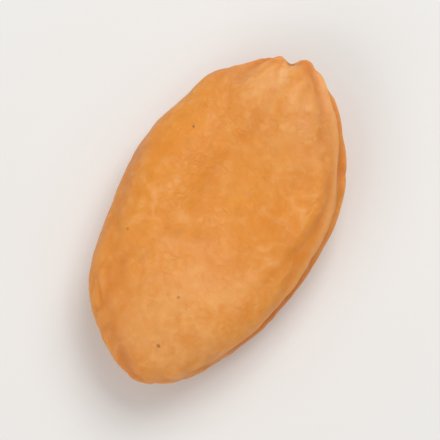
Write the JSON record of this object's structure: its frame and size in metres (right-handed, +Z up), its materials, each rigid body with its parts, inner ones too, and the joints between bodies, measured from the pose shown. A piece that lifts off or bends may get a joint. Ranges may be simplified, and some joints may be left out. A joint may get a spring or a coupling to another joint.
{
  "type": "dried apricot",
  "caption": "Whole dried apricot, stone taken out: a plump flattened oval of orange flesh and skin with a suture groove, soft creases and a closed slit at the stem end, lying flat",
  "frame": {"origin": "on the surface that the fruit lies on, under the middle of its outline", "axes": "+Z up, +Y along the fruit to its stem end, +X across it to the side with the suture groove"},
  "size_m": [0.0228, 0.038, 0.01],
  "materials": {
    "apricot_skin": "satin, faintly translucent dried fruit skin"
  },
  "bodies": {
    "root": {"dried_apricot": "apricot_skin"}
  },
  "joints": []
}
